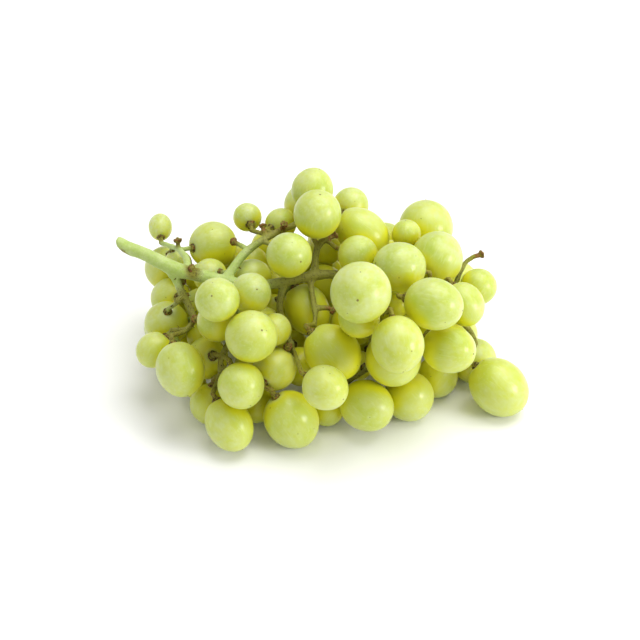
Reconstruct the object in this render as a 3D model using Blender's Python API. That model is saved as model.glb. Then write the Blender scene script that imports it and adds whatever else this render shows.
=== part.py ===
"""A bunch of white grapes as picked, lying on a table, at its real size.

The stem is one piece: the cut stalk, the rachis, its side branches and the stalk of every berry,
all grown together. Each berry is a piece of its own, held a hair clear of its stalk.
+X runs along the rachis from the cut end to the tip, +Z is up, the table is z = 0.
The design is worked out in millimetres and turned into metres when the meshes are made.
"""

import math

import bmesh
import bpy
import numpy as np
from mathutils import Matrix, Vector

METRE = 0.001

# Driving dimensions, in millimetres.
CLEARANCE = 0.4  # space between neighbouring pieces
REST_REACH = 1.6  # a berry hanging this close to the table lies on it
REST_PRESS = 0.6  # how deep a lying berry is flattened
STALK_RADIUS = 0.85
RECEPTACLE_RADIUS = 1.9
RECEPTACLE_LENGTH = 2.6
BARE_STALK_ARCH = 0.6  # how far a stalk whose berry has dropped bows upwards
SHRUNK_RECEPTACLE = 0.8  # share of its radius that is left where the berry has dropped
STEM_GRAIN = 0.55  # edge of the remeshed stem surface
STEM_KEPT = 0.06  # share of its triangles that stay after thinning
TUBE_SIDES = 10
TUBE_START_SIDE = (0.31, 0.17, 0.93)  # along none of the stalks, so that it has a part across each
BRANCH_STEPS = 5  # points for each span of a route, of a bare stalk and of a settled stalk
BARE_STALK_STEPS = 4
STALK_STEPS = 3
BERRY_SIDES_AND_RINGS = (10, 8)
LYING_BERRY_SIDES_AND_RINGS = (14, 10)
SHARP_ANGLE = 40  # degrees, so that only the rim of a flattened patch stays sharp

# How the settled bunch is found.
SETTLE_STEPS = 500
STALK_POINTS = 9
HOME_PULL = 0.03
FIRST_ROOT = 2  # no berry's stalk leaves a branch before this point of it
STALK_AIM = 0.8  # how far along its own length a berry looks for its root, where a direction is given
STALK_STIFFNESS = 0.3
BERRY_YIELD = 0.1  # share of a berry-to-stalk push that the berry takes

SKIN_YELLOW = (0.60, 0.66, 0.16)
SKIN_GREEN = (0.36, 0.46, 0.12)
STEM_COLOUR = (0.33, 0.40, 0.14)
SKIN_ROUGHNESS = 0.3
STEM_ROUGHNESS = 0.55

# The rachis from the cut end to the tip: x, y, z and radius.
RACHIS = [
    (-79, 16, 58, 3.0),
    (-76, 14, 57, 2.8),
    (-69, 11, 56, 2.6),
    (-58, 6, 53, 2.7),
    (-47, 5, 50, 2.6),
    (-34, 4, 47, 2.2),
    (-21, 3, 47, 1.9),
    (-8, 6, 48, 1.8),
    (5, 9, 48, 1.7),
    (16, 8, 46, 1.6),
    (28, 7, 43, 1.5),
    (40, 4, 40, 1.4),
    (50, 2, 35, 1.3),
    (58, 1, 29, 1.2),
]

# Each side branch: its route of x, y, z from the rachis outwards, its radius at the root and at
# the end, the berries on it as x, y, z, width and length with the direction of the stalk where
# it doesn't simply point at the branch, and the ends of stalks whose berry has dropped.
BRANCHES = {
    "wing": {
        "route": [(-61, 7, 54), (-58, 5, 50), (-55, 3, 44), (-52, 0, 39), (-50, -4, 35), (-53, -9, 33)],
        "radii": (1.7, 0.9),
        "berries": [
            (-54, -27, 28, 19, 22, (-3, 8, 6)),
            (-66, -9, 24, 14, 15, (7, 5, 6)),
            (-61, 7, 25, 18, 19, (2, -3, 8)),
            (-62, 25, 25, 17, 17, (5, -6, 5)),
            (-66, 27, 9, 17, 17, (8, -8, 6)),
        ],
        "dropped": [(-57, -1, 41), (-49, -8, 39), (-55, 8, 45)],
    },
    "spur": {
        "route": [(-53, 6, 51), (-53, 14, 51), (-56, 22, 50), (-60, 29, 48)],
        "radii": (1.6, 0.9),
        "berries": [
            (-67, 47, 46, 10, 13, (1, -9, -2)),
            (-65, 43, 28, 19, 19, (2, -3, 8)),
            (-44, 33, 46, 20, 20, (-8, -5, 2)),
        ],
        "dropped": [(-58, 25, 54)],
    },
    "shoulder": {
        "route": [(-38, 4, 48), (-34, 10, 51), (-30, 15, 54), (-23, 20, 57), (-15, 26, 58), (-10, 28, 59)],
        "radii": (1.9, 1.0),
        "berries": [
            (-30, 42, 54, 12, 12, (2, -9, -1)),
            (-16, 37, 54, 13, 13, (-5, -6, 1)),
            (-12, 3, 61, 18, 18, (-5, 8, -2)),
            (-3, 36, 71, 17, 18, (-3, -2, -9)),
            (-4, 50, 55, 20, 20, None),
            (-44, 15, 43, 14, 14, (7, -5, 5)),
        ],
        "dropped": [(-15, 24, 62), (-24, 25, 61), (-35, 26, 52)],
    },
    "crown": {
        "route": [(-2, 8, 48), (-2, 12, 52), (-1, 16, 56), (2, 19, 58)],
        "radii": (1.4, 1.0),
        "berries": [
            (-1, 17, 71, 19, 20, (-1, 1, -9)),
            (17, 27, 56, 19, 24, (-8, 3, 5)),
            (15, 9, 57, 16, 16, (-7, 6, -1)),
            (12, 50, 55, 15, 15, (-4, -8, 0)),
        ],
        "dropped": [(7, 20, 59)],
    },
    "left": {
        "route": [(-34, 4, 47), (-33, -2, 40), (-34, -10, 33), (-37, -17, 30), (-39, -21, 26), (-39, -22, 21)],
        "radii": (1.6, 0.9),
        "berries": [
            (-35, -40, 12, 18, 22, (-5, 7, 6)),
            (-30, -39, 29, 18, 18, (-4, 8, 4)),
            (-43, -24, 8, 17, 17, (1, 2, 8)),
            (-45, -11, 21, 17, 18, (3, -6, 6)),
            (-39, -13, 42, 16, 16, (0, 5, -4)),
            (-26, -30, 46, 20, 21, None),
            (-27, -13, 54, 16, 16, None),
            (-38, -23, 58, 17, 17, None),
            (-11, -37, 11, 21, 24, (-5, 2, 8)),
        ],
        "dropped": [],
    },
    "middle": {
        "route": [(-14, 5, 47), (-16, -1, 40), (-14, -6, 33), (-11, -11, 27)],
        "radii": (1.5, 0.9),
        "berries": [
            (-18, -24, 26, 17, 18, None),
            (-16, -18, 37, 13, 14, None),
            (-5, 4, 34, 18, 22, (-4, 5, 6)),
            (2, -46, 34, 17, 18, (-7, 6, 1)),
        ],
        "dropped": [(-12, -20, 34)],
    },
    "drop": {
        "route": [(-4, 7, 47), (-3, -1, 44), (-2, -7, 41), (-2, -12, 37)],
        "radii": (1.2, 0.8),
        "berries": [
            (5, -23, 33, 21, 24, (-6, 3, 5)),
        ],
        "dropped": [(6, -5, 41)],
    },
    "front": {
        "route": [(14, 8, 46), (18, 3, 42), (22, -5, 38), (20, -12, 28), (22, -15, 21)],
        "radii": (1.6, 0.9),
        "berries": [
            (15, -31, 67, 23, 23, (1, 8, -3)),
            (15, -22, 49, 16, 16, None),
            (29, -39, 49, 20, 22, (-2, 8, 6)),
            (28, -24, 30, 22, 22, None),
            (19, -31, 14, 20, 22, (-8, 5, 2)),
            (36, -20, 10, 20, 20, (-6, 4, 6)),
        ],
        "dropped": [(27, -8, 44)],
    },
    "flank": {
        "route": [(38, 5, 40), (43, 1, 43), (46, -4, 43), (47, -9, 40)],
        "radii": (1.4, 0.9),
        "berries": [
            (31, -1, 58, 20, 21, (8, 2, -3)),
            (43, -23, 56, 20, 23, (-9, 4, 0)),
            (47, 14, 52, 21, 22, None),
            (56, -9, 46, 16, 18, (-4, 5, 5)),
            (50, -22, 34, 19, 22, (-8, 5, -2)),
        ],
        "dropped": [],
    },
    "tip": {
        "route": [(56, 1, 31), (60, 2, 26), (63, -2, 22)],
        "radii": (1.2, 0.8),
        "berries": [
            (71, -16, 12, 22, 26, (-7, 4, 5)),
            (47, -7, 9, 17, 17, (4, 4, 8)),
            (63, 3, 9, 19, 19, (-1, 1, 9)),
            (63, 9, 42, 15, 15, (-5, -3, -6)),
        ],
        "dropped": [],
    },
    "spare": {
        "route": [(50, 2, 35), (54, 9, 42), (58, 17, 47), (61, 19, 49)],
        "radii": (1.0, 0.9),
        "berries": [],
        "dropped": [(66, 20, 50)],
    },
    "back_left": {
        "route": [(-36, 4, 47), (-37, 14, 38), (-36, 24, 30), (-34, 32, 22)],
        "radii": (1.5, 0.9),
        "berries": [
            (-46, 38, 11, 20, 21, None),
            (-23, 41, 11, 20, 23, (-4, -6, 5)),
            (-20, 50, 34, 18, 20, (-6, -8, 0)),
        ],
        "dropped": [],
    },
    "back_middle": {
        "route": [(9, 9, 47), (11, 18, 40), (12, 27, 34), (12, 36, 26)],
        "radii": (1.6, 0.9),
        "berries": [
            (1, 43, 10, 19, 20, None),
            (24, 40, 11, 21, 23, (-4, -6, 6)),
            (4, 55, 32, 19, 21, (3, -9, -1)),
            (27, 51, 34, 20, 21, (-6, -8, -1)),
        ],
        "dropped": [],
    },
    "back_right": {
        "route": [(33, 6, 42), (38, 15, 39), (42, 24, 36), (46, 32, 32)],
        "radii": (1.5, 0.9),
        "berries": [
            (44, 42, 49, 23, 23, (0, -5, -8)),
            (35, 26, 56, 12, 12, (1, -2, -9)),
            (43, 38, 11, 20, 22, (0, -3, 8)),
            (57, 21, 11, 19, 20, (-6, 3, 7)),
            (54, 33, 28, 19, 21, (-8, -3, 4)),
        ],
        "dropped": [],
    },
}


def unit(vectors):
    """The vectors at length 1, along their last axis."""
    return vectors / np.maximum(np.linalg.norm(vectors, axis=-1, keepdims=True), 1e-9)


def smooth_route(points, steps):
    """A Catmull-Rom curve through the points, with the given number of steps in each span."""
    points = np.asarray(points, float)
    padded = np.vstack([2 * points[0] - points[1], points, 2 * points[-1] - points[-2]])
    curve = []
    for before, start, end, after in zip(padded, padded[1:], padded[2:], padded[3:]):
        for t in np.arange(steps) / steps:
            curve.append(
                0.5
                * (
                    2 * start
                    + (end - before) * t
                    + (2 * before - 5 * start + 4 * end - after) * t**2
                    + (3 * start - before - 3 * end + after) * t**3
                )
            )
    curve.append(points[-1])
    return np.array(curve)


def stalk_profile(curve, receptacle_radius):
    """Radii along a stalk: thin and even, then flaring to the receptacle at its end."""
    left = np.linalg.norm(curve - curve[-1], axis=1)
    flare = np.clip(1 - left / RECEPTACLE_LENGTH, 0, 1)
    return STALK_RADIUS + (receptacle_radius - STALK_RADIUS) * np.sqrt(flare)


def branch_curves():
    """The rachis, every side branch and every bare stalk, as rows of x, y, z and radius."""
    curves = {"rachis": smooth_route(RACHIS, BRANCH_STEPS)}
    for name, branch in BRANCHES.items():
        route = smooth_route(branch["route"], BRANCH_STEPS)
        radii = np.linspace(*branch["radii"], len(route))
        curves[name] = np.column_stack([route, radii])
        for number, end in enumerate(branch["dropped"], 1):
            end = np.array(end, float)
            root = route[np.argmin(np.linalg.norm(route - end, axis=1))]
            middle = (root + end) / 2 + (0, 0, BARE_STALK_ARCH)
            bare = smooth_route([root, middle, end], BARE_STALK_STEPS)
            radii = stalk_profile(bare, RECEPTACLE_RADIUS * SHRUNK_RECEPTACLE)
            curves[f"{name}_bare_{number}"] = np.column_stack([bare, radii])
    return curves


def planned_berries(curves):
    """The berries as they are placed by hand, each with the point of its branch that feeds it."""
    berries = []
    for branch_name, branch in BRANCHES.items():
        for number, (x, y, z, width, length, towards) in enumerate(branch["berries"], 1):
            place = np.array([x, y, z], float)
            route = curves[branch_name][FIRST_ROOT:, :3]
            aim = place.copy()
            if towards is not None:
                aim += length * STALK_AIM * unit(np.array(towards, float))
            root = route[np.argmin(np.linalg.norm(route - aim, axis=1))]
            axis = unit(root - place if towards is None else np.array(towards, float))
            berries.append(
                {
                    "name": f"berry_{branch_name}_{number}",
                    "place": place,
                    "axis": axis,
                    "half_width": width / 2,
                    "half_length": length / 2,
                    "root": root,
                }
            )
    return berries


def reach(half_width, half_length, along):
    """How far an ellipsoid reaches in a direction, given that direction's part along its axis."""
    return np.sqrt(half_width**2 + (half_length**2 - half_width**2) * along**2)


def settle(berries, curves):
    """Pushes berries and stalks apart until nothing touches, and lays the lowest berries down.

    Returns the places of the berries and the points of their stalks, from the branch outwards.
    """
    place = np.array([berry["place"] for berry in berries])
    axis = np.array([berry["axis"] for berry in berries])
    half_width = np.array([berry["half_width"] for berry in berries])
    half_length = np.array([berry["half_length"] for berry in berries])
    root = np.array([berry["root"] for berry in berries])
    home = place.copy()
    down_reach = reach(half_width, half_length, axis[:, 2])
    lying = place[:, 2] - down_reach < REST_REACH
    branch_points = np.vstack(list(curves.values()))
    first, second = np.triu_indices(len(berries), 1)
    shares = np.linspace(0, 1, STALK_POINTS)[:, None]
    foot = place + axis * (half_length + CLEARANCE)[:, None]
    stalk = root[:, None] * (1 - shares) + foot[:, None] * shares
    stalk_radius = np.full(STALK_POINTS, STALK_RADIUS)
    stalk_radius[-1] = RECEPTACLE_RADIUS
    everyone = np.arange(len(berries))

    for _ in range(SETTLE_STEPS):
        place += (home - place) * HOME_PULL

        # Berry against berry.
        between = place[second] - place[first]
        distance = np.linalg.norm(between, axis=1)
        way = unit(between)
        need = reach(half_width[first], half_length[first], (way * axis[first]).sum(1))
        need = need + reach(half_width[second], half_length[second], (way * axis[second]).sum(1))
        push = np.maximum(0, need + CLEARANCE - distance)[:, None] * way * 0.5
        np.add.at(place, second, push)
        np.add.at(place, first, -push)

        # Berry against the rachis and the side branches, which stay where they are.
        between = place[:, None] - branch_points[None, :, :3]
        distance = np.linalg.norm(between, axis=2)
        way = unit(between)
        along = (way * axis[:, None]).sum(2)
        need = reach(half_width[:, None], half_length[:, None], along) + branch_points[None, :, 3]
        push = np.maximum(0, need + CLEARANCE - distance)
        deepest = np.argmax(push, axis=1)
        place += (push[..., None] * way)[everyone, deepest]

        # Berry against the table.
        place[:, 2] = np.maximum(place[:, 2], down_reach + CLEARANCE)
        place[lying, 2] = down_reach[lying] - REST_PRESS

        # Each stalk leaves its berry straight, and bends evenly back to its root.
        tip = half_length + CLEARANCE
        stalk[:, -1] = place + axis * tip[:, None]
        stalk[:, -2] = place + axis * (tip + RECEPTACLE_LENGTH)[:, None]
        bend = stalk[:, :-3] + stalk[:, 2:-1] - 2 * stalk[:, 1:-2]
        stalk[:, 1:-2] += bend * STALK_STIFFNESS

        # Stalk against berry. The last two points belong to the stalk's own berry.
        between = stalk[:, :, None] - place[None, None]
        distance = np.linalg.norm(between, axis=3)
        way = unit(between)
        along = (way * axis[None, None]).sum(3)
        need = reach(half_width, half_length, along) + stalk_radius[None, :, None] + CLEARANCE
        push = np.maximum(0, need - distance)
        push[everyone, -1, everyone] = 0
        push[everyone, -2, everyone] = 0
        push[:, 0] = 0
        moved = push[..., None] * way
        np.add.at(place, slice(None), -BERRY_YIELD * moved.sum((0, 1)))
        stalk[:, 1:-2] += (1 - BERRY_YIELD) * moved.sum(2)[:, 1:-2]

    return place, stalk


def add_tube(shape, points, radii):
    """Adds a closed tube with rounded-off ends along the points."""
    points = np.asarray(points, float)
    tangents = unit(np.gradient(points, axis=0))
    side = unit(np.cross(tangents[0], TUBE_START_SIDE))
    rings = []
    for point, tangent, radius in zip(points, tangents, radii):
        side = unit(side - tangent * side.dot(tangent))
        other = np.cross(tangent, side)
        turns = [2 * math.pi * i / TUBE_SIDES for i in range(TUBE_SIDES)]
        ring = [point + radius * (math.cos(a) * side + math.sin(a) * other) for a in turns]
        rings.append([shape.verts.new(corner * METRE) for corner in ring])
    for lower, upper in zip(rings, rings[1:]):
        for i in range(TUBE_SIDES):
            j = (i + 1) % TUBE_SIDES
            shape.faces.new((lower[i], lower[j], upper[j], upper[i]))
    shape.faces.new(rings[0][::-1])
    shape.faces.new(rings[-1])


def stem_object(curves, stalks):
    """The stem in one piece: every tube joined by one remesh, then thinned."""
    shape = bmesh.new()
    for curve in curves.values():
        add_tube(shape, curve[:, :3], curve[:, 3])
    for stalk in stalks:
        curve = smooth_route(stalk, STALK_STEPS)
        add_tube(shape, curve, stalk_profile(curve, RECEPTACLE_RADIUS))
    mesh = bpy.data.meshes.new("stem")
    shape.to_mesh(mesh)
    shape.free()
    stem = bpy.data.objects.new("stem", mesh)
    bpy.context.scene.collection.objects.link(stem)
    grown = stem.modifiers.new("grown_together", "REMESH")
    grown.mode = "VOXEL"
    grown.voxel_size = STEM_GRAIN * METRE
    grown.use_smooth_shade = True
    thinned = stem.modifiers.new("thinned", "DECIMATE")
    thinned.ratio = STEM_KEPT
    return stem


def berry_object(berry, place, lying):
    """A berry with its poles at the stalk and at the tip, cut flat where it lies on the table."""
    shape = bmesh.new()
    around, rings = LYING_BERRY_SIDES_AND_RINGS if lying else BERRY_SIDES_AND_RINGS
    bmesh.ops.create_uvsphere(shape, u_segments=around, v_segments=rings, radius=1.0)
    half_width = berry["half_width"] * METRE
    half_length = berry["half_length"] * METRE
    turn = Vector(berry["axis"]).to_track_quat("Z", "Y").to_matrix().to_4x4()
    stretch = Matrix.Diagonal((half_width, half_width, half_length, 1.0))
    shift = Matrix.Translation(Vector(place) * METRE)
    bmesh.ops.transform(shape, matrix=shift @ turn @ stretch, verts=shape.verts)
    if lying:
        everything = shape.verts[:] + shape.edges[:] + shape.faces[:]
        cut = bmesh.ops.bisect_plane(
            shape, geom=everything, plane_co=(0, 0, 0), plane_no=(0, 0, -1), clear_outer=True
        )
        rim = [piece for piece in cut["geom_cut"] if isinstance(piece, bmesh.types.BMEdge)]
        bmesh.ops.contextual_create(shape, geom=rim)
    bmesh.ops.recalc_face_normals(shape, faces=shape.faces)
    mesh = bpy.data.meshes.new(berry["name"])
    shape.to_mesh(mesh)
    shape.free()
    mesh.shade_smooth()
    mesh.set_sharp_from_angle(angle=math.radians(SHARP_ANGLE))
    fruit = bpy.data.objects.new(berry["name"], mesh)
    bpy.context.scene.collection.objects.link(fruit)
    return fruit


def give_material(piece, colour, roughness):
    material = bpy.data.materials.new(piece.name)
    material.use_nodes = True
    shader = material.node_tree.nodes["Principled BSDF"]
    shader.inputs["Base Color"].default_value = (*colour, 1.0)
    shader.inputs["Roughness"].default_value = roughness
    shader.inputs["Metallic"].default_value = 0.0
    piece.data.materials.append(material)


def skin_colour(place, bunch_height):
    """Berries on top have had more sun, so they are yellower than the low ones."""
    ripe = min(max(place[2] / bunch_height, 0.0), 1.0)
    return [low + (high - low) * ripe for low, high in zip(SKIN_GREEN, SKIN_YELLOW)]


def centre_on_base(pieces):
    """Moves all the meshes so that the origin is under the middle of the bunch."""
    graph = bpy.context.evaluated_depsgraph_get()
    corners = []
    for piece in pieces:
        mesh = piece.evaluated_get(graph).to_mesh()
        corners += [vertex.co.copy() for vertex in mesh.vertices]
    corners = np.array(corners)
    middle = (corners.min(axis=0) + corners.max(axis=0)) / 2
    for piece in pieces:
        piece.data.transform(Matrix.Translation((-middle[0], -middle[1], 0.0)))


def main():
    for old in list(bpy.data.objects):
        bpy.data.objects.remove(old)
    curves = branch_curves()
    berries = planned_berries(curves)
    places, stalks = settle(berries, curves)
    bunch_height = max(place[2] for place in places)
    pieces = [stem_object(curves, stalks)]
    give_material(pieces[0], STEM_COLOUR, STEM_ROUGHNESS)
    for berry, place in zip(berries, places):
        down = reach(berry["half_width"], berry["half_length"], berry["axis"][2])
        fruit = berry_object(berry, place, place[2] < down)
        give_material(fruit, skin_colour(place, bunch_height), SKIN_ROUGHNESS)
        pieces.append(fruit)
    centre_on_base(pieces)


main()
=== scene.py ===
import heapq
import math

import bmesh
import bpy
import numpy as np
from mathutils import Matrix, Vector, kdtree, noise


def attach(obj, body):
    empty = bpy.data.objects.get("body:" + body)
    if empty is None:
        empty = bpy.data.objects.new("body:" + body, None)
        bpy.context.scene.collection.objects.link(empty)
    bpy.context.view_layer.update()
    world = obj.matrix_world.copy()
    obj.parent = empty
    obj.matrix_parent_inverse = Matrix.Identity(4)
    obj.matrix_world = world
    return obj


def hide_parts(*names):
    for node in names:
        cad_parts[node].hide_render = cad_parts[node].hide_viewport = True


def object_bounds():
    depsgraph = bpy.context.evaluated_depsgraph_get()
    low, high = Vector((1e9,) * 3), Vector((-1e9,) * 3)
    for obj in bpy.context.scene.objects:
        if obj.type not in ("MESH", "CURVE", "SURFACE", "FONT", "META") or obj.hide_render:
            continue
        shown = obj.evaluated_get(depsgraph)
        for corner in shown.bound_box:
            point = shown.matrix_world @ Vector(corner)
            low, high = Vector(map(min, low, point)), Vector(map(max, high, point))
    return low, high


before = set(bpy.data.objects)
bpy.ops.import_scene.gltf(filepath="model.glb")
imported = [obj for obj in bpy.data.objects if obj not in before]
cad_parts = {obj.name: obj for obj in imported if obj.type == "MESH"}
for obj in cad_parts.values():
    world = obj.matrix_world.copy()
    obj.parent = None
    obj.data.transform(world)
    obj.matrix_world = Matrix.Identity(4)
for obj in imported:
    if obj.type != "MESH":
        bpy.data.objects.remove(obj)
cadLow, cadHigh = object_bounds()
mm = 0.001
fullTurn = 6.28
chance = np.random.default_rng(11)

camera = {
    "aim": (-1.4, -5.5, 32),  # mm from the middle of the bunch's foot
    "distance": 600,  # mm
    "elevation": 36,  # degrees above the table
    "lens": 84.4,
}

light = {
    "sky": 0.66,  # strength of the white all round
    "window": {"from": (0.88, -0.40, 0.30), "away": 900, "size": 330, "power": 3.8},
    "ceiling": {"from": (0.25, 0.15, 1.0), "away": 900, "size": 900, "power": 7.0},
}

floor = {"size": 4000, "below": 0.2, "tone": (0.96, 0.96, 0.955, 1.0), "roughness": 0.7, "gloss": 0.2}


# Small tools

def unit(vectors):
    return vectors / np.maximum(np.linalg.norm(vectors, axis=-1, keepdims=True), 1e-12)


def reach(halfWidth, halfLength, along):  # from a berry's middle to its skin, along: the cosine off its axis
    return np.sqrt(halfWidth**2 + (halfLength**2 - halfWidth**2) * along**2)


def fade(values, start, end):  # smoothly from 0 at start to 1 at end
    t = np.clip((np.asarray(values, float) - start) / (end - start), 0, 1)
    return t * t * (3 - 2 * t)


def deselectAll():
    if bpy.context.object and bpy.context.object.mode != "OBJECT":
        bpy.ops.object.mode_set(mode="OBJECT")
    bpy.ops.object.select_all(action="DESELECT")


def makeActive(thing):
    deselectAll()
    thing.select_set(True)
    bpy.context.view_layer.objects.active = thing


def applyModifier(thing, kind, **settings):
    makeActive(thing)
    added = thing.modifiers.new(kind.lower(), kind)
    for name, value in settings.items():
        setattr(added, name, value)
    bpy.ops.object.modifier_apply(modifier=added.name)


def pointsOf(mesh):
    points = np.empty(len(mesh.vertices) * 3, np.float32)
    mesh.vertices.foreach_get("co", points)
    return points.reshape(-1, 3).astype(float)


def normalsOf(mesh):
    normals = np.empty(len(mesh.vertices) * 3, np.float32)
    mesh.vertices.foreach_get("normal", normals)
    return normals.reshape(-1, 3).astype(float)


def movePoints(mesh, points):
    mesh.vertices.foreach_set("co", np.asarray(points, np.float32).ravel())
    mesh.update()


def paint(mesh, name, values):
    values = np.asarray(values, np.float32)
    isVector = values.ndim == 2
    layer = mesh.attributes.new(name, "FLOAT_VECTOR" if isVector else "FLOAT", "POINT")
    layer.data.foreach_set("vector" if isVector else "value", values.ravel())


def noiseAt(points, size, shift=0.0):
    return np.array([noise.noise(Vector(p / size) + Vector((shift, 0, 0))) for p in points])


def turnTo(axis, spin=0.0):  # turns +Z to the axis, after a spin about itself
    turn = Vector(axis).to_track_quat("Z", "Y").to_matrix()
    return np.array(turn @ Matrix.Rotation(spin, 3, "Z"))


def newPiece(name, mesh):
    piece = bpy.data.objects.new(name, mesh)
    bpy.context.scene.collection.objects.link(piece)
    return piece


def dress(mesh, material):
    mesh.shade_smooth()
    mesh.materials.clear()
    mesh.materials.append(material)


def joinPieces(pieces, name, material):
    deselectAll()
    for piece in pieces:
        piece.select_set(True)
    bpy.context.view_layer.objects.active = pieces[0]
    bpy.ops.object.join()
    joined = bpy.context.object
    joined.name = name
    dress(joined.data, material)
    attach(joined, "root")


# Shader maths: a socket that can be added, multiplied and mixed like a number

class Signal:
    def __init__(self, tree, socket=None):
        self.tree = tree
        self.socket = socket

    def make(self, kind, settings, inputs, output=0):
        node = self.tree.nodes.new(kind)
        for name, value in settings.items():
            setattr(node, name, value)
        for name, value in inputs.items():
            if isinstance(value, Signal):
                self.tree.links.new(value.socket, node.inputs[name])
            else:
                node.inputs[name].default_value = value
        return Signal(self.tree, node.outputs[output])

    def maths(self, operation, *values):
        return self.make("ShaderNodeMath", {"operation": operation}, dict(enumerate(values)))

    def __add__(self, other):
        return self.maths("ADD", self, other)

    def __mul__(self, other):
        return self.maths("MULTIPLY", self, other)

    def __sub__(self, other):
        return self.maths("SUBTRACT", self, other)

    def __rsub__(self, other):
        return self.maths("SUBTRACT", other, self)

    __radd__ = __add__
    __rmul__ = __mul__

    def fade(self, start, end):  # 0 at start, 1 at end
        settings = {"interpolation_type": "SMOOTHSTEP"}
        return self.make("ShaderNodeMapRange", settings, {"Value": self, "From Min": start, "From Max": end})

    def tint(self, low, high):  # a colour from low to high as this goes from 0 to 1
        return self.make("ShaderNodeMix", {"data_type": "RGBA"}, {0: self, 6: low, 7: high}, 2)

    def attribute(self, name, output="Fac"):
        return self.make("ShaderNodeAttribute", {"attribute_name": name}, {}, output)

    def scaled(self, factors):
        return self.make("ShaderNodeVectorMath", {"operation": "MULTIPLY"}, {0: self, 1: factors})

    def noise(self, scale, detail=2.0):
        return self.make("ShaderNodeTexNoise", {}, {"Vector": self, "Scale": scale, "Detail": detail})

    def cells(self, scale, output="Distance"):
        return self.make("ShaderNodeTexVoronoi", {}, {"Vector": self, "Scale": scale}, output)

    def part(self, letter):
        return self.make("ShaderNodeSeparateXYZ", {}, {0: self}, letter)


def newMaterial(name):
    material = bpy.data.materials.new(name)
    material.use_nodes = True
    shader = material.node_tree.nodes["Principled BSDF"]
    return material, shader, Signal(material.node_tree)


def plug(shader, name, value):
    if isinstance(value, Signal):
        value.tree.links.new(value.socket, shader.inputs[name])
    else:
        shader.inputs[name].default_value = value


# Camera, floor and light

def standCamera():
    lens = bpy.data.cameras.new("camera")
    lens.lens = camera["lens"]
    lens.sensor_width = 36
    lens.clip_start = 0.01
    stand = bpy.data.objects.new("camera", lens)
    bpy.context.scene.collection.objects.link(stand)
    middle = Vector(((cadLow.x + cadHigh.x) / 2, (cadLow.y + cadHigh.y) / 2, cadLow.z))
    aim = middle + Vector(camera["aim"]) * mm
    lift = math.radians(camera["elevation"])
    stand.location = aim + Vector((0, -math.cos(lift), math.sin(lift))) * camera["distance"] * mm
    stand.rotation_euler = (math.pi / 2 - lift, 0, 0)
    bpy.context.scene.camera = stand
    return aim


def hangLight(name, setting, aim):
    lamp = bpy.data.lights.new(name, "AREA")
    lamp.shape = "DISK"
    lamp.size = setting["size"] * mm
    lamp.energy = setting["power"]
    holder = bpy.data.objects.new(name, lamp)
    bpy.context.scene.collection.objects.link(holder)
    way = Vector(setting["from"]).normalized()
    holder.location = aim + way * setting["away"] * mm
    holder.rotation_euler = way.to_track_quat("Z", "Y").to_euler()


def layFloor():
    deselectAll()
    height = cadLow.z - floor["below"] * mm
    bpy.ops.mesh.primitive_plane_add(size=floor["size"] * mm, location=(0, 0, height))
    ground = bpy.context.object
    ground.name = "floor"
    material, shader, _ = newMaterial("paleFloor")
    plug(shader, "Base Color", floor["tone"])
    plug(shader, "Roughness", floor["roughness"])
    plug(shader, "Specular IOR Level", floor["gloss"])
    ground.data.materials.append(material)


def lightStudio():
    aim = standCamera()
    world = bpy.data.worlds.new("studio")
    world.use_nodes = True
    background = world.node_tree.nodes["Background"]
    background.inputs["Color"].default_value = (1.0, 1.0, 1.0, 1.0)
    background.inputs["Strength"].default_value = light["sky"]
    bpy.context.scene.world = world
    bpy.context.scene.view_settings.view_transform = "Standard"
    hangLight("window", light["window"], aim)
    hangLight("ceiling", light["ceiling"], aim)
    layFloor()
    print("studio ready")


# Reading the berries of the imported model

def readBerry(name):  # fits an ellipsoid to the corners of the node's mesh
    corners = np.unique(pointsOf(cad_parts[name].data), axis=0)
    rough = corners.mean(axis=0)
    curved = (corners[corners[:, 2] > 0.3 * mm] - rough) / mm  # without the flattened patch
    x, y, z = curved.T
    terms = [x * x, y * y, z * z, 2 * x * y, 2 * x * z, 2 * y * z, 2 * x, 2 * y, 2 * z, x * 0 + 1]
    fit = np.linalg.svd(np.column_stack(terms))[2][-1]
    form = np.array([[fit[0], fit[3], fit[4]], [fit[3], fit[1], fit[5]], [fit[4], fit[5], fit[2]]])
    middle = -np.linalg.solve(form, fit[6:9])
    around = curved - middle
    both = np.unique(np.vstack([around, -around]).round(2), axis=0)
    axis = np.linalg.eigh(both.T @ both)[1][:, 2]
    along = both @ axis
    return {
        "name": name,
        "centre": rough / mm + middle,
        "axis": axis,
        "halfLength": np.abs(along).max(),
        "halfWidth": np.linalg.norm(both - along[:, None] * axis, axis=1).max(),
    }


def readBerries(stemTree):
    berries = [readBerry(name) for name in sorted(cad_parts) if name != "stem"]
    for berry in berries:
        ends = [berry["centre"] + side * berry["axis"] * berry["halfLength"] for side in (1, -1)]
        gaps = [stemTree.find(end * mm)[2] for end in ends]
        if gaps[1] < gaps[0]:  # the axis points to the stalk
            berry["axis"] = -berry["axis"]
    print("berries read:", len(berries))
    return berries


def stalkPoles(berries):  # the places where the berries sit on their stalks
    return np.array([berry["centre"] + berry["axis"] * berry["halfLength"] for berry in berries])


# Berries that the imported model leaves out: tucked behind others, or inside the bunch

tucking = {"nudges": 40, "gap": 0.1, "length": 1.02}  # gap in mm, length as a share of the width

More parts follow.
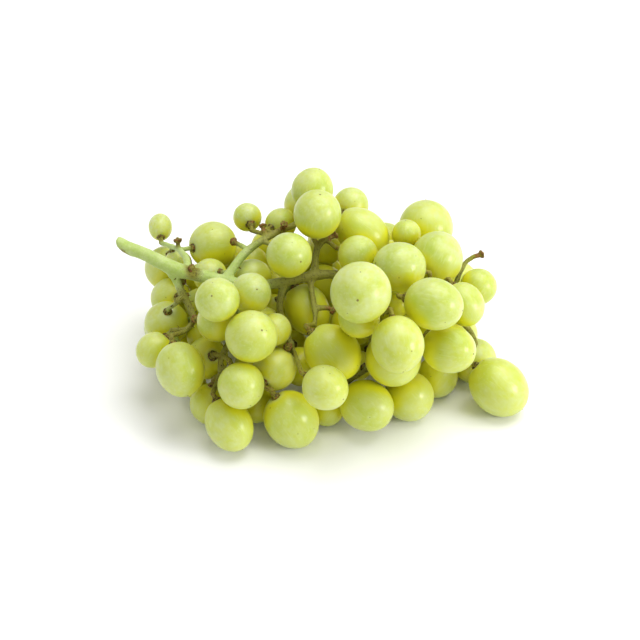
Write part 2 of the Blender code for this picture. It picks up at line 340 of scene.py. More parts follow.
# Where each is tucked: beside which berry, how far from it and half its own width, in mm
tucked = {
    "under_shoulder": {"beside": "berry_shoulder_6", "offset": (17, -1, -1), "half": 8.1},
    "behind_spur": {"beside": "berry_spur_3", "offset": (16, -3, -7), "half": 7.0},
    "below_spur": {"beside": "berry_back_left_3", "offset": (-17, -7, -3), "half": 7.6},
    "low_left": {"beside": "berry_left_9", "offset": (-14, 13, -3), "half": 7.5},
    "low_middle": {"beside": "berry_front_5", "offset": (-15, 5, -6), "half": 6.6},
    "under_middle": {"beside": "berry_middle_1", "offset": (10, 12, -8), "half": 7.8},
    "under_crown": {"beside": "berry_shoulder_5", "offset": (8, -14, -12), "half": 7.1},
    "below_crown": {"beside": "berry_back_middle_3", "offset": (-1, -17, -2), "half": 6.6},
    "under_flank": {"beside": "berry_flank_1", "offset": (-1, -2, -16), "half": 5.4},
    "behind_wing": {"beside": "berry_wing_4", "offset": (10, -6, 2), "half": 6.6},
    "low_wing": {"beside": "berry_wing_3", "offset": (13, 1, -6), "half": 6.4},
    "low_wing_end": {"beside": "berry_left_3", "offset": (-5, 9, 2), "half": 5.2},
    "left_of_crown": {"beside": "berry_back_left_3", "offset": (13, -14, 4), "half": 6.7},
    "under_left": {"beside": "berry_back_left_3", "offset": (1, -24, -1), "half": 5.8},
    "under_front": {"beside": "berry_middle_3", "offset": (13, 8, -12), "half": 5.2},
    "foot_left": {"beside": "berry_middle_3", "offset": (-6, 3, -20), "half": 6.4},
    "foot_right": {"beside": "berry_middle_3", "offset": (24, 2, -20), "half": 7.2},
    "hollow_upper": {"beside": "berry_back_middle_2", "offset": (6, -23, 18), "half": 8.2},
    "hollow_lower": {"beside": "berry_back_middle_2", "offset": (14, -16, 1), "half": 8.0},
    "foot_wing": {"beside": "berry_wing_3", "offset": (6, 6, -13), "half": 5.4},
    "middle_gap": {"beside": "berry_front_5", "offset": (-3, 22, 3), "half": 6.0},
    "wing_gap": {"beside": "berry_wing_4", "offset": (8, -1, -8), "half": 4.2},
}


filling = {
    "most": 26,
    "step": 3,  # mm between the places that are tried
    "smallest": 5.5,  # mm, half a berry's length
    "largest": 9.0,
    "slim": 0.97,  # width as a share of the length
    "gap": 0.2,  # mm
    "lowest": 6,  # mm above the table
    "highest": 42,
    "sides": 22,  # mm inside the bunch's box on its left and right
    "front": 42,
    "back": 14,
    "neighbours": 22,  # mm, how far off a berry still counts as around the place
    "around": 5,  # how many of those there are at the least
    "openness": 0.42,  # 0 with berries all round, 1 with berries on one side only
}


def roomAt(places, berries, stemPoints):  # mm free round each place
    room = np.full(len(places), 1e9)
    for berry in berries:
        between = places - berry["centre"]
        distance = np.linalg.norm(between, axis=1)
        along = (between @ berry["axis"]) / np.maximum(distance, 1e-6)
        room = np.minimum(room, distance - reach(berry["halfWidth"], berry["halfLength"], along))
    for point in stemPoints:
        room = np.minimum(room, np.linalg.norm(places - point, axis=1))
    return np.minimum(room, places[:, 2])


def newBerry(name, centre, halfLength, halfWidth, stemTree):
    toStem = np.array(stemTree.find(Vector(centre * mm))[0]) / mm
    axis = unit(toStem - centre)
    return {"name": name, "centre": centre, "axis": axis, "halfLength": halfLength, "halfWidth": halfWidth}


def tuckBerries(berries, stemTree):
    byName = {berry["name"]: berry for berry in berries}
    added = []
    for name, plan in tucked.items():
        size = plan["half"]
        place = byName[plan["beside"]]["centre"] + np.array(plan["offset"], float)
        for _ in range(tucking["nudges"]):  # moves off whatever it would cut into
            for other in berries + added:
                between = place - other["centre"]
                distance = np.linalg.norm(between)
                way = between / distance
                need = reach(other["halfWidth"], other["halfLength"], way @ other["axis"])
                place = place + way * max(0, need + size + tucking["gap"] - distance) * 0.5
            place[2] = max(place[2], size)
        added.append(newBerry("tucked_berry_" + name, place, size * tucking["length"], size, stemTree))
    print("tucked berries:", len(added))
    return added


def placesInside(berries):
    low, high = np.array(cadLow) / mm, np.array(cadHigh) / mm
    ranges = [
        np.arange(low[0] + filling["sides"], high[0] - filling["sides"], filling["step"]),
        np.arange(low[1] + filling["front"], high[1] - filling["back"], filling["step"]),
        np.arange(filling["lowest"], filling["highest"], filling["step"]),
    ]
    places = np.stack(np.meshgrid(*ranges, indexing="ij"), axis=-1).reshape(-1, 3)
    between = np.array([berry["centre"] for berry in berries])[None] - places[:, None]
    close = np.linalg.norm(between, axis=2) < filling["neighbours"]
    number = close.sum(axis=1)
    pull = (unit(between) * close[..., None]).sum(axis=1) / np.maximum(number, 1)[:, None]
    return places[(np.linalg.norm(pull, axis=1) < filling["openness"]) & (number >= filling["around"])]


def fillBunch(berries, stemPoints, stemTree):
    places = placesInside(berries)
    room = roomAt(places, berries, stemPoints) - filling["gap"]
    added = []
    while len(added) < filling["most"] and room.max() >= filling["smallest"]:
        best = int(np.argmax(np.minimum(room, filling["largest"])))
        size = min(room[best], filling["largest"])
        name = f"inner_berry_{len(added) + 1}"
        added.append(newBerry(name, places[best].copy(), size, size * filling["slim"], stemTree))
        room = np.minimum(room, roomAt(places, added[-1:], []) - filling["gap"])
    print("inner berries:", len(added))
    return added


# The shape of one berry, used for all of them

grape = {
    "sides": 32,
    "rings": 24,
    "seat": [0.075, 0.05, 0.018],  # how deep the rings round the stalk sink, in radii
    "scar": 0.042,  # half width of the scar at the far end, in radii
    "scarDip": 0.006,
    "scarPip": 0.022,
    "unevenness": 0.02,
    "lumps": 0.9,  # size of the unevenness, in radii
    "stalkHalf": 0.03,  # how much fuller the stalk half is
    "stalkHalfRange": (-0.3, 1.2),  # lowest and highest share of that
    "softFoot": 0.35,  # mm, how gently the foot rounds into the table
    # The next three set the painted shade in the skin's colour, from the floor and from the berries nearby
    "floorShade": 0.35,
    "neighbours": 48,  # mm, how far off a berry still throws shade
    "wrap": 0.3,  # how far round the side a neighbour's shade reaches
}


def selectPoints(thing, wanted):
    bpy.ops.mesh.select_all(action="DESELECT")
    shape = bmesh.from_edit_mesh(thing.data)
    for vertex in shape.verts:
        vertex.select = wanted(vertex.co)
    shape.select_flush_mode()
    bmesh.update_edit_mesh(thing.data)


def shapeGrape():
    deselectAll()
    rings, scar = grape["rings"], grape["scar"]
    bpy.ops.mesh.primitive_uv_sphere_add(segments=grape["sides"], ring_count=rings, radius=1)
    master = bpy.context.object
    bpy.ops.object.mode_set(mode="EDIT")
    bpy.ops.mesh.select_mode(type="VERT")
    for number, depth in enumerate(grape["seat"]):
        height = math.cos(math.pi * number / rings)
        selectPoints(master, lambda place: abs(place.z - height) < 0.001)
        bpy.ops.transform.translate(value=(0, 0, -depth))
    selectPoints(master, lambda place: place.z < -0.9999)
    bpy.ops.mesh.bevel(offset=scar, affect="VERTICES")
    bpy.ops.mesh.select_mode(type="FACE")
    bpy.ops.mesh.inset(thickness=scar * 0.35, depth=-grape["scarDip"])
    bpy.ops.mesh.inset(thickness=scar * 0.3, depth=grape["scarPip"])
    bpy.ops.object.mode_set(mode="OBJECT")
    applyModifier(master, "SUBSURF", levels=1, render_levels=1)
    return master


def paintedLightAt(points, berry, others):  # for the painted shade on the skin's colour: 1 where a point of the skin sees all of the sky, 0 where it sees none
    wrap = grape["wrap"]
    normals = unit(points - berry["centre"])
    paintedShadeShare = grape["floorShade"] * (0.5 - 0.5 * normals[:, 2])
    for other in others:
        between = other["centre"] - points
        distance = np.linalg.norm(between, axis=1)
        facing = (between * normals).sum(axis=1) / distance
        share = np.minimum(other["halfWidth"] / distance, 1) ** 2
        paintedShadeShare += share * np.clip((facing + wrap) / (1 + wrap), 0, 1)
    return np.clip(1 - paintedShadeShare, 0, 1)


def placeGrape(master, berry, others, material):
    mesh = master.data.copy()
    mesh.name = berry["name"]
    own = pointsOf(mesh)
    shift = chance.uniform(0, 50)
    swell = 1 + grape["unevenness"] * noiseAt(own, grape["lumps"], shift)
    shaped = own * swell[:, None]
    fuller = grape["stalkHalf"] * own[:, 2] * chance.uniform(*grape["stalkHalfRange"])
    shaped[:, :2] *= (1 + fuller)[:, None]
    turn = turnTo(berry["axis"], chance.uniform(0, fullTurn))
    size = np.array([berry["halfWidth"], berry["halfWidth"], berry["halfLength"]])
    placed = (shaped * size) @ turn.T + berry["centre"]
    soft, height = grape["softFoot"], placed[:, 2].copy()
    rounded = soft * np.exp(np.minimum(height / soft - 1, 0))
    placed[:, 2] = np.where(height < soft, rounded, height)
    movePoints(mesh, placed * mm)
    paint(mesh, "skin", own)
    paint(mesh, "shift", np.full(len(own), shift))
    paint(mesh, "ripe", np.full(len(own), berry["ripe"]))
    away = [np.linalg.norm(other["centre"] - berry["centre"]) for other in others]
    around = [other for other, gap in zip(others, away) if 0 < gap < grape["neighbours"]]
    # paints the shade from the floor and the nearby berries into the skin, for its colour
    paint(mesh, "paintedShadeOpen", paintedLightAt(placed, berry, around))
    paint(mesh, "dusty", np.full(len(own), berry["dusty"]))
    dress(mesh, material)
    piece = newPiece(berry["name"].replace("berry", "grape"), mesh)
    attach(piece, "root")
    if berry["name"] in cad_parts:
        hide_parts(berry["name"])


skin = {
    "green": (0.378, 0.486, 0.062, 1),
    "yellow": (0.520, 0.570, 0.062, 1),
    "deep": (0.62, 0.62, 0.012, 1),  # painted shade: the olive colour of light that comes through other berries, where they hide the sky
    "bloom": (0.56, 0.64, 0.38, 1),
    "vein": (0.60, 0.68, 0.25, 1),
    "sheen": (0.85, 1.0, 0.75, 1),
    "speck": (0.10, 0.09, 0.02, 1),
    "scar": (0.16, 0.11, 0.03, 1),
    "roughness": 0.34,
    "wax": 0.22,  # the thin gloss on top
    "through": 0.75,  # share of the light that goes into the flesh
    "throughDepth": 9,  # mm
    "speckSpacing": 4.5,  # how many could stand side by side on a radius
    "specksLeftOut": 0.90,
    "ripeFoot": 0.78,  # how yellow a berry is on the table, from 0 to 1
    "ripeTop": 0.35,  # how much less at the top of the bunch
    "ripeSpread": 0.3,
    "dustySpread": 0.14,
}

# How much more bloom than usual some berries kept
dustyBerries = {
    "berry_middle_1": 0.45,
    "berry_middle_2": 0.40,
    "berry_left_7": 0.22,
    "berry_shoulder_1": 0.24,
    "berry_shoulder_5": 0.35,
    "berry_wing_3": 0.12,
    "berry_flank_1": 0.18,
    "berry_crown_4": 0.28,
    "berry_spur_1": 0.28,
}


def ripenBerries(berries, top):
    for berry in berries:
        berry["dusty"] = dustyBerries.get(berry["name"], 0.0) + chance.uniform(0.0, skin["dustySpread"])
        ripe = skin["ripeFoot"] - skin["ripeTop"] * berry["centre"][2] / top
        berry["ripe"] = float(np.clip(ripe + chance.uniform(0.0, skin["ripeSpread"]), 0, 1))


def grapeSkin():
    material, shader, nodes = newMaterial("grapeSkin")
    own = nodes.attribute("skin", "Vector")  # place on a berry of radius 1, its stalk at +Z
    place = nodes.make("ShaderNodeVectorMath", {"operation": "ADD"}, {0: own, 1: nodes.attribute("shift")})
    across = own.part("X") * own.part("X") + own.part("Y") * own.part("Y")
    off = nodes.maths("SQRT", across)  # distance from the line through stalk and scar
    cloud = place.noise(1.1, 1)
    mottle = place.noise(5, 3)
    fibres = place.scaled((5.0, 5.0, 0.8)).noise(2.2, 2)
    ripeness = (nodes.attribute("ripe") + cloud * 0.9 - 0.45).fade(0.0, 1.0)
    colour = ripeness.tint(skin["green"], skin["yellow"])
    colour = (fibres.fade(0.52, 0.72) * 0.30).tint(colour, skin["vein"])
    # painted shade: the skin goes to the painted shade tint where the floor and other berries hide the sky
    sky = nodes.attribute("paintedShadeOpen")
    colour = sky.fade(0.0, 0.55).tint(skin["deep"], colour)
    bloom = (mottle * 0.6 + cloud * 0.6 - 0.25).fade(0.05, 0.75)
    # bloom that is partly painted sky light, paler where the skin sees the sky, plus each berry's own extra
    # bloom
    bloomAndPaintedSkyLight = sky.fade(0.15, 0.95) * 0.64 + nodes.attribute("dusty")
    colour = (bloom * bloomAndPaintedSkyLight).tint(colour, skin["bloom"])
    spacing, leftOut = skin["speckSpacing"], skin["specksLeftOut"]
    picked = place.cells(spacing, "Color").part("X").fade(leftOut, leftOut + 0.01)
    specks = place.cells(spacing).fade(0.14, 0.08) * picked
    colour = (specks * 0.75).tint(colour, skin["speck"])
    scar = off.fade(0.052, 0.032) * own.part("Z").fade(-0.5, -0.8)
    colour = (scar * 0.85).tint(colour, skin["scar"])
    seat = off.fade(0.42, 0.25) * own.part("Z").fade(0.5, 0.8)
    colour = (seat * 0.45).tint(colour, skin["vein"])
    plug(shader, "Base Color", colour)
    plug(shader, "Roughness", bloom * 0.14 + specks * 0.2 + skin["roughness"])
    plug(shader, "Subsurface Weight", skin["through"])
    plug(shader, "Subsurface Radius", (1.0, 0.85, 0.12))
    plug(shader, "Subsurface Scale", skin["throughDepth"] * mm)
    plug(shader, "Specular IOR Level", 0.5)
    plug(shader, "IOR", 1.42)
    plug(shader, "Coat Weight", skin["wax"])
    plug(shader, "Coat Roughness", 0.14)
    plug(shader, "Sheen Weight", 0.14)
    plug(shader, "Sheen Roughness", 0.3)
    plug(shader, "Sheen Tint", skin["sheen"])
    pores = {"Strength": 0.06, "Distance": 0.4 * mm, "Height": place.noise(26, 2)}
    plug(shader, "Normal", nodes.make("ShaderNodeBump", {}, pores))
    return material


# The stem

stem = {
    "swell": 0.22,  # mm added all over, for what smoothing takes off
    "bumps": [(7.0, 0.16), (2.2, 0.12), (0.9, 0.06)],  # mm: size and height
    "cutSlope": 0.85,  # how far the cut leans back, 1 is 45 degrees
    "cutReach": 12,  # mm along the stem that lean with it
    "cutEdge": 0.85,  # how sharp its rim is, 1 is a hard edge
    "cutUp": (0, 0.45, 1),  # the side of the stalk where the cut leans out
    "cutLip": 0.3,  # share of the half height above which it leans out
    "cutFlat": 0.8,  # how much smoother the cut face is
    "brownCut": 0.95,  # how dry and brown it is there, from 0 to 1
    "brownAtBerry": 0.25,
    "brownBare": 0.35,  # where a berry has dropped
    "brownFar": 0.52,  # far from the cut end
    "brownMiddle": 0.04,
    "scorched": 0.25,  # at the berries
    "straysScaly": 0.025,  # how scaly the rest is beside the flaky place
    "neck": 0.98,  # mm, half the width of a little stalk where its collar begins
    "flaky": {"beside": "berry_left_5", "offset": (-9, 5, -1), "reach": 18},  # mm
    "green": (0.36, 0.49, 0.085, 1),
    "pale": (0.55, 0.65, 0.27, 1),
    "olive": (0.25, 0.235, 0.026, 1),
    "brown": (0.15, 0.085, 0.018, 1),
    "dark": (0.060, 0.042, 0.006, 1),
    "rust": (0.30, 0.13, 0.035, 1),
}


def stemSkin():
    material, shader, nodes = newMaterial("stemSkin")
    place = nodes.make("ShaderNodeTexCoord", {}, {}, "Object").scaled((1000, 1000, 1000))  # in mm
    age = nodes.attribute("age")  # 0 fresh and green, 1 brown and dry; it also rises far along the stem, which is darker olive there
    scorch = nodes.attribute("scorch")  # 1 where it is nearly black
    flaky = nodes.attribute("flaky")
    broad = place.noise(0.16, 2)
    grain = place.noise(1.1, 3)
    fine = place.noise(3.5, 2)
    green = (broad * 0.7 + grain * 0.5 - 0.1).fade(0.2, 0.8).tint(stem["green"], stem["pale"])
    colour = (age * 1.5 + flaky * 0.75 + broad * 0.3 - 0.25).fade(0.0, 0.9).tint(green, stem["olive"])
    brown = grain.fade(0.42, 0.60).tint(stem["brown"], stem["rust"])
    wear = (age * 0.62 + flaky * 0.15 + grain * 0.8 - 0.45).fade(0.42, 0.62)
    colour = wear.tint(colour, brown)
    spots = fine.fade(0.53, 0.61) * (grain + flaky * 0.10).fade(0.46, 0.56)
    colour = (spots * (age * 1.8 + flaky * 0.8 + 0.15)).tint(colour, stem["dark"])
    colour = (scorch + grain * 0.7 - 0.35).fade(0.20, 0.62).tint(colour, stem["dark"])
    plug(shader, "Base Color", colour)
    plug(shader, "Roughness", wear * 0.25 + 0.45)
    plug(shader, "Specular IOR Level", 0.25)
    plug(shader, "Subsurface Weight", 0.12)
    plug(shader, "Subsurface Radius", (1.0, 0.9, 0.25))
    plug(shader, "Subsurface Scale", 1.2 * mm)
    bark = {"Strength": 0.5, "Distance": 0.3 * mm, "Height": grain + fine}
    plug(shader, "Normal", nodes.make("ShaderNodeBump", {}, bark))
    return material


def wayFromCut(points, edges):  # length of the way along the stem from the cut end, for each point
    joined = [[] for _ in points]
    for a, b in edges:
        length = float(np.linalg.norm(points[a] - points[b]))
        joined[a].append((b, length))
        joined[b].append((a, length))
    way = np.full(len(points), 1e9)
    start = int(np.argmin(points[:, 0]))
    way[start] = 0
    queue = [(0.0, start)]
    while queue:
        gone, here = heapq.heappop(queue)
        if gone > way[here]:
            continue
        for other, length in joined[here]:
            if gone + length < way[other]:
                way[other] = gone + length
                heapq.heappush(queue, (gone + length, other))
    return way


def bareEnds(points, way, berries):  # where a little stalk ends with no berry
    ends = []
    poles = stalkPoles(berries)
    for here in np.argsort(-way):
        if way[here] < 25:  # mm, near the cut end
            break
        distance = np.linalg.norm(points - points[here], axis=1)
        if way[distance < 4].max() > way[here]:  # the stem goes on
            continue
        if np.linalg.norm(poles - points[here], axis=1).min() < 3.5:  # a berry sits there
            continue
        if any(np.linalg.norm(end["place"] - points[here]) < 4 for end in ends):
            continue
        tip = points[(distance < 2.5) & (way > way[here] - 1.8)].mean(axis=0)
        neck = points[(distance < 6) & (way < way[here] - 3)].mean(axis=0)
        ends.append({"place": tip, "axis": unit(tip - neck)})
    print("bare stalks:", len(ends))
    return ends


def findCut(mesh, points, way):  # the points of the cut face, its middle, and the direction into the stalk
    corner = points[np.argmin(way)]
    rough = Vector(unit(points[(way > 8) & (way < 14)].mean(axis=0) - points[way < 5].mean(axis=0)))
    faces = [f for f in mesh.polygons if (f.center / mm - Vector(corner)).length < 8]
    faces = [f for f in faces if f.normal.dot(rough) < -0.85]
    inward = -unit(np.array([f.normal for f in faces]).mean(axis=0))
    onCut = np.zeros(len(points), bool)
    onCut[[number for f in faces for number in f.vertices]] = True
    return onCut, points[onCut].mean(axis=0), inward


def leanCut(points, start, inward):  # slopes the cut, its upper edge outwards and its lower edge inwards
    offset = points - start
    upward = np.array(stem["cutUp"])
    upward = unit(upward - inward * (upward @ inward))
    along = offset @ inward
    height = offset @ upward
    away = np.linalg.norm(offset, axis=1)
    half = height[(away < 6) & (along < 1)].max()
    lean = (stem["cutLip"] * half - height) * stem["cutSlope"] * np.clip(1 - along / stem["cutReach"], 0, 1)
    lean *= away < stem["cutReach"] + half
    return points + lean[:, None] * inward, along, height / half


def slimEnds(points, poles, axes, nearest, which):  # thins the stalk ends to necks behind their collars
    fromPole = points - poles[which]
    behind = (fromPole * axes[which]).sum(axis=1)
    radial = fromPole - behind[:, None] * axes[which]
    wide = np.linalg.norm(radial, axis=1)
    atEnd = fade(behind, 3.2, 2.4) * fade(nearest, 4.4, 3.8) * fade(wide, 3.0, 2.6)
    slim = np.minimum(1, (stem["neck"] - stem["swell"]) / np.maximum(wide, 0.01))
    return points + radial * ((slim - 1) * atEnd)[:, None]


def paintWear(mesh, age, flaky, scorch):
    for name, values in {"age": age, "flaky": flaky, "scorch": scorch}.items():
        paint(mesh, name, values + np.zeros(len(mesh.vertices)))


def growStem(berries, material):
    stalks = newPiece("stalks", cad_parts["stem"].data.copy())
    makeActive(stalks)
    bpy.ops.object.mode_set(mode="EDIT")
    bpy.ops.mesh.select_all(action="SELECT")
    bpy.ops.mesh.remove_doubles(threshold=0.002 * mm)
    bpy.ops.object.mode_set(mode="OBJECT")
    mesh = stalks.data
    points = pointsOf(mesh) / mm
    edges = [tuple(edge.vertices) for edge in mesh.edges]
    way = wayFromCut(points, edges)
    bare = bareEnds(points, way, berries)
    onCut, start, inward = findCut(mesh, points, way)
    crease = [stem["cutEdge"] if onCut[a] and onCut[b] else 0.0 for a, b in edges]
    mesh.attributes.new("crease_edge", "FLOAT", "EDGE").data.foreach_set("value", crease)
    paint(mesh, "way", way)
    applyModifier(stalks, "SUBSURF", levels=2, render_levels=2)

    mesh = stalks.data
    points = pointsOf(mesh) / mm
    normals = normalsOf(mesh)
    way = np.empty(len(points), np.float32)
    mesh.attributes["way"].data.foreach_get("value", way)
    bareAt = np.array([end["place"] for end in bare])
    poles = np.vstack([stalkPoles(berries), bareAt])
    axes = np.array([b["axis"] for b in berries] + [-end["axis"] for end in bare])
    toPoles = np.linalg.norm(points[:, None] - poles[None], axis=2)
    nearest = toPoles.min(axis=1)
    points = slimEnds(points, poles, axes, nearest, toPoles.argmin(axis=1))
    height = np.full(len(points), stem["swell"])
    for size, rise in stem["bumps"]:
        height += rise * noiseAt(points, size)
    leant, along, level = leanCut(points, start, inward)
    toCut = np.linalg.norm(points - start, axis=1)
    height *= 1 - stem["cutFlat"] * fade(along, 1.0, 0.2) * (toCut < 8)
    movePoints(mesh, (leant + normals * height[:, None]) * mm)

    toBare = np.min(np.linalg.norm(points[:, None] - bareAt[None], axis=2), axis=1)
    cutRim = fade(along, 4.5, 1.5) * fade(level, 0.45, -0.25) * (toCut < 9)
    age = stem["brownAtBerry"] * fade(nearest, 6, 2) + stem["brownBare"] * fade(toBare, 5, 2)
    age += stem["brownCut"] * cutRim
    # darker and more olive far along the stem from the cut end
    age += stem["brownFar"] * fade(way, 50, 74) + stem["brownMiddle"] * fade(way, 24, 34)
    beside, offset, reachTo = stem["flaky"].values()
    spot = [berry["centre"] for berry in berries if berry["name"] == beside][0] + np.array(offset)
    flaky = fade(np.linalg.norm(points - spot, axis=1), reachTo, reachTo - 7)
    paintWear(mesh, np.clip(age, 0, 1), flaky, stem["scorched"] * fade(nearest, 4, 2))
    dress(mesh, material)
    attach(stalks, "root")
    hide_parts("stem")
    print("stem grown:", len(mesh.polygons))
    strays = stem["straysScaly"] * (nearest > 5) * (way > 30)
    growScales(leant, normals, flaky * (nearest > 3) + strays, material)
    return bare


# Small dry scales and stubs on the branches

scale = {
    "number": 64,
    "apart": 1.7,  # mm
    "long": 2.1,
    "wide": 0.62,
    "tip": 0.12,
    "thin": 0.45,  # thickness as a share of the width
    "curl": 0.5,  # mm that the tip leans over
    "sizes": (0.55, 1.15),
    "tilt": 0.45,  # how untidily they stand
    "lift": 0.55,  # mm from the bark to the middle
    "ages": (0.25, 0.75),
}


def shapeScale():
    deselectAll()
    wide, tip, long = scale["wide"], scale["tip"], scale["long"]
    bpy.ops.mesh.primitive_cone_add(vertices=8, radius1=wide, radius2=tip, depth=long)
    master = bpy.context.object
    bpy.ops.object.mode_set(mode="EDIT")
    bpy.ops.mesh.select_all(action="SELECT")
    bpy.ops.transform.resize(value=(scale["thin"], 1, 1))
    bpy.ops.mesh.subdivide(number_cuts=2)
    bpy.ops.object.mode_set(mode="OBJECT")
    own = pointsOf(master.data)
    own[:, 0] += scale["curl"] * (own[:, 2] / long + 0.5) ** 2
    movePoints(master.data, own)
    return master


def growScales(points, normals, weight, material):
    master = shapeScale()
    own = pointsOf(master.data)
    tried = chance.choice(len(points), size=3000, replace=False, p=weight / weight.sum())
    taken = []
    pieces = []
    for here in tried:
        if len(taken) == scale["number"]:
            break
        if taken and np.min(np.linalg.norm(points[taken] - points[here], axis=1)) < scale["apart"]:
            continue
        taken.append(here)
        mesh = master.data.copy()
        way = unit(normals[here] + chance.normal(0, scale["tilt"], 3))
        turn = turnTo(way, chance.uniform(0, fullTurn))
        placed = own * chance.uniform(*scale["sizes"]) @ turn.T + points[here] + way * scale["lift"]
        movePoints(mesh, placed * mm)
        paintWear(mesh, chance.uniform(*scale["ages"]), 1.0, 0.7 * fade(own[:, 2], -0.2, 0.8))
        pieces.append(newPiece(f"scale_{len(pieces) + 1}", mesh))
    bpy.data.objects.remove(master)
    joinPieces(pieces, "scales", material)
    print("scales:", len(pieces))


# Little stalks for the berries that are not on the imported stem

stalk = {
    "sides": 12,
    "rings": 9,
    "half": 0.95,  # mm
    "flare": 0.55,  # mm wider where it leaves the stem
    "lumps": 0.08,
    "longest": 24,
    "bow": 0.14,  # share of its length that it bends down
    "inBerry": 0.5,  # mm that its ends sink in
    "inStem": 0.4,
    "detour": 8,  # how far it goes round a berry sooner than through it
    "age": 0.22,
    "flaky": 0.2,
}


def shapeStalk():
    deselectAll()
    bpy.ops.mesh.primitive_circle_add(vertices=stalk["sides"], radius=1, fill_type="NGON")
    master = bpy.context.object
    bpy.ops.object.mode_set(mode="EDIT")
    bpy.ops.mesh.select_all(action="SELECT")
    for _ in range(stalk["rings"]):
        bpy.ops.mesh.extrude_region_move(TRANSFORM_OT_translate={"value": (0, 0, 1 / stalk["rings"])})
    bpy.ops.mesh.select_all(action="SELECT")
    bpy.ops.mesh.normals_make_consistent(inside=False)
    bpy.ops.object.mode_set(mode="OBJECT")
    return master


def growStalks(fillers, berries, stemPoints, material):
    master = shapeStalk()
    own = pointsOf(master.data)
    pieces = []
    for filler in fillers:
        centre, half = filler["centre"], filler["halfLength"]
        away = np.linalg.norm(stemPoints - centre, axis=1)
        ends = stemPoints[(away > half) & (away < max(half + stalk["longest"], away.min() + 3))]
        ways = unit(ends - centre)
        starts = centre + ways * half
        cost = np.linalg.norm(ends - starts, axis=1)
        others = [berry for berry in berries + fillers if berry is not filler]
        for share in (0.15, 0.4, 0.65, 0.9):  # looks for a way that passes between the berries
            room = roomAt(starts + (ends - starts) * share, others, [])
            cost += stalk["detour"] * np.maximum(0, stalk["half"] + 0.3 - room)
        best = int(np.argmin(cost))
        filler["axis"] = ways[best]
        start = starts[best] - ways[best] * stalk["inBerry"]
        end = ends[best] + ways[best] * stalk["inStem"]
        bend = (start + end) / 2 - np.array([0, 0, stalk["bow"] * np.linalg.norm(end - start)])
        t = own[:, 2:]
        middle = start * (1 - t) ** 2 + bend * 2 * t * (1 - t) + end * t**2
        wide = stalk["half"] + stalk["flare"] * own[:, 2] ** 4
        wide = wide + stalk["lumps"] * noiseAt(own, 0.5, len(pieces) * 7.0)
        mesh = master.data.copy()
        movePoints(mesh, (middle + (own * [1, 1, 0] * wide[:, None]) @ turnTo(ways[best]).T) * mm)
        paintWear(mesh, stalk["age"], stalk["flaky"], 0.0)
        pieces.append(newPiece(f"stalk_{len(pieces) + 1}", mesh))
    bpy.data.objects.remove(master)
    joinPieces(pieces, "inner_stalks", material)
    print("inner stalks:", len(pieces))


# The swollen collar at the end of every little stalk

collar = {
    "sides": 18,
    # Half width and height of each ring in mm, from the stalk to the berry
    "start": (0.85, -2.3),
    "swollen": [(1.05, -1.7), (1.75, -1.15), (2.15, -0.45), (2.2, 0.15)],
    "cup": [(1.85, 0.5), (1.2, 0.3), (0.5, 0.22)],
    "sink": 0.55,  # mm into the berry's dimple
    "sinkBare": 0.3,
    "sizes": (0.80, 1.0),
    "bareSize": 0.88,  # of those that have lost their berry
    "brush": 0.9,  # mm, what stays standing when the berry drops
    "warts": 0.34,
    "wartSize": 0.62,
}


def shapeCollar():
    deselectAll()
    radius, height = collar["start"]
    bpy.ops.mesh.primitive_circle_add(
        vertices=collar["sides"], radius=radius, fill_type="NGON", location=(0, 0, height)
    )
    master = bpy.context.object
    bpy.ops.object.transform_apply(location=True)
    bpy.ops.object.mode_set(mode="EDIT")
    bpy.ops.mesh.select_all(action="SELECT")
    for nextRadius, nextHeight in collar["swollen"] + collar["cup"]:
        bpy.ops.mesh.extrude_region_move(TRANSFORM_OT_translate={"value": (0, 0, nextHeight - height)})
        grow = nextRadius / radius
        bpy.ops.transform.resize(value=(grow, grow, 1), center_override=(0, 0, nextHeight))
        radius, height = nextRadius, nextHeight
    bpy.ops.mesh.select_all(action="SELECT")
    bpy.ops.mesh.normals_make_consistent(inside=False)
    bpy.ops.object.mode_set(mode="OBJECT")
    applyModifier(master, "SUBSURF", levels=1, render_levels=1)
    return master


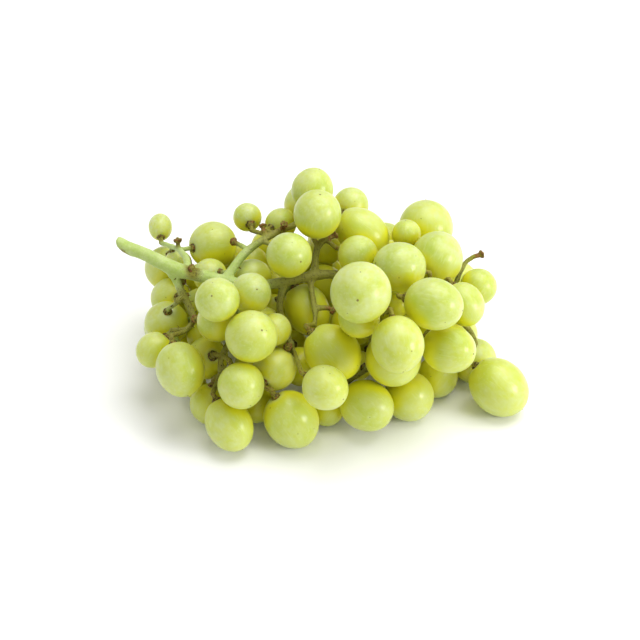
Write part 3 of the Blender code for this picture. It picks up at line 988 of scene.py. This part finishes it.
def putCollars(berries, bare, material):
    master = shapeCollar()
    own = pointsOf(master.data)
    wide = np.hypot(own[:, 0], own[:, 1])
    spots = []
    for berry in berries:
        dimple = berry["centre"] + berry["axis"] * (berry["halfLength"] - collar["sink"])
        spots.append((dimple, -berry["axis"], False))
    for end in bare:
        spots.append((end["place"] - end["axis"] * collar["sinkBare"], end["axis"], True))
    pieces = []
    for place, axis, isBare in spots:
        mesh = master.data.copy()
        shift = chance.uniform(0, 60)
        size = chance.uniform(*collar["sizes"]) * (collar["bareSize"] if isBare else 1.0)
        wart = collar["warts"] * noiseAt(own, collar["wartSize"], shift) * fade(own[:, 2], -2.0, -0.8)
        shaped = own * (1 + wart / 1.6)[:, None] * size
        if isBare:
            shaped[:, 2] += collar["brush"] * fade(wide, 1.1, 0.2) * (own[:, 2] > 0.1)
        movePoints(mesh, (shaped @ turnTo(axis).T + place) * mm)
        age = np.clip(0.45 + 0.25 * fade(wide, 1.3, 1.9) + 0.15 * isBare, 0, 1)
        patch = fade(noiseAt(own, 0.8, shift + 9), -0.25, 0.35) * (0.5 if isBare else 1.0)
        paintWear(mesh, age, 0.8, 0.72 * fade(own[:, 2], -2.2, -1.0) * patch)
        pieces.append(newPiece(f"collar_{len(pieces) + 1}", mesh))
    bpy.data.objects.remove(master)
    joinPieces(pieces, "collars", material)
    print("collars put on:", len(spots))


# Putting it together

lightStudio()
stemCorners = np.unique(pointsOf(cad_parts["stem"].data), axis=0)
stemTree = kdtree.KDTree(len(stemCorners))
for number, corner in enumerate(stemCorners):
    stemTree.insert(corner, number)
stemTree.balance()
berries = readBerries(stemTree)
inner = tuckBerries(berries, stemTree)
inner += fillBunch(berries + inner, stemCorners / mm, stemTree)
ripenBerries(berries + inner, max(berry["centre"][2] for berry in berries))

skinMaterial = grapeSkin()
stemMaterial = stemSkin()
bareStalks = growStem(berries, stemMaterial)
growStalks(inner, berries, stemCorners / mm, stemMaterial)
putCollars(berries + inner, bareStalks, stemMaterial)
master = shapeGrape()
for berry in berries + inner:
    placeGrape(master, berry, berries + inner, skinMaterial)
bpy.data.objects.remove(master)
print("berries placed:", len(berries) + len(inner))
